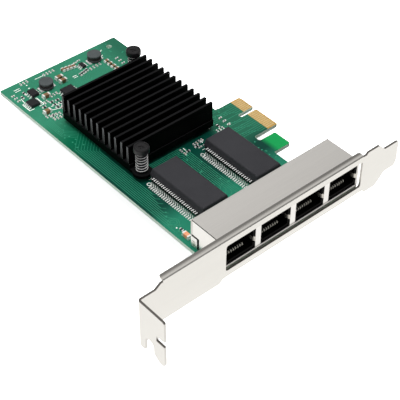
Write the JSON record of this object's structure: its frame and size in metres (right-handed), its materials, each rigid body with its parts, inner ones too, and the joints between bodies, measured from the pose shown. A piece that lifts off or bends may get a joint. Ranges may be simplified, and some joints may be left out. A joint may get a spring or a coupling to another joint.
{
  "type": "network interface card",
  "caption": "Server network interface card: printed board with a gold edge connector, a finned heat sink, transformer packages and a row of shielded modular ports behind a steel bracket.",
  "frame": {"origin": "middle of the key notch at the leading edge of the edge connector, on the board's component side", "axes": "+X out of the edge connector, along the bracket; +Y along the board, away from the ports; +Z out of the component side"},
  "size_m": [0.12, 0.1421, 0.0237],
  "materials": {
    "solder_mask": "glossy green solder mask over glass laminate",
    "gold": "thin gold plating",
    "zinc_plated_steel": "bright zinc plating, satin",
    "screw_steel": "zinc plating",
    "nickel_shield": "satin nickel plating",
    "black_housing": "moulded, satin",
    "black_anodised": "black anodised",
    "black_nylon": "moulded, satin",
    "spring_wire": "bright drawn wire",
    "dark_epoxy": "moulded epoxy, matt",
    "chip_epoxy": "moulded epoxy, matt",
    "pad_rubber": "soft grey pad",
    "crystal_can": "nickel-plated lid",
    "tin": "matt tin plating",
    "ferrite": "pressed ferrite, matt",
    "winding": "enamelled copper wire",
    "brown_ceramic": "fired ceramic, satin",
    "tan_ceramic": "fired ceramic, satin",
    "resistor_glaze": "black glaze"
  },
  "bodies": {
    "root": {"bracket": "zinc_plated_steel", "bracket_screws": "screw_steel", "chip_end_caps": "tin", "chip_resistors": "resistor_glaze", "clock_crystal": "crystal_can", "driver_chip": "chip_epoxy", "driver_chip_leads": "tin", "edge_contacts": "gold", "far_coil_spring": "spring_wire", "far_push_pin": "black_nylon", "heat_sink": "black_anodised", "inductor_cores": "ferrite", "inductor_terminals": "tin", "inductor_windings": "winding", "jack_front_shield": "nickel_shield", "jack_housing": "black_housing", "jack_rear_shield": "nickel_shield", "large_capacitors": "brown_ceramic", "left_transformer_body": "dark_epoxy", "left_transformer_leads": "tin", "memory_chip": "chip_epoxy", "memory_chip_leads": "tin", "near_coil_spring": "spring_wire", "near_push_pin": "black_nylon", "network_controller": "dark_epoxy", "pcb": "solder_mask", "port_1_contacts": "gold", "port_2_contacts": "gold", "port_3_contacts": "gold", "port_4_contacts": "gold", "power_switch_chip": "chip_epoxy", "power_switch_chip_leads": "tin", "regulator_chip": "chip_epoxy", "regulator_chip_leads": "tin", "right_transformer_body": "dark_epoxy", "right_transformer_leads": "tin", "shield_capacitor": "tan_ceramic", "small_capacitors": "brown_ceramic", "thermal_pad": "pad_rubber"}
  },
  "joints": []
}
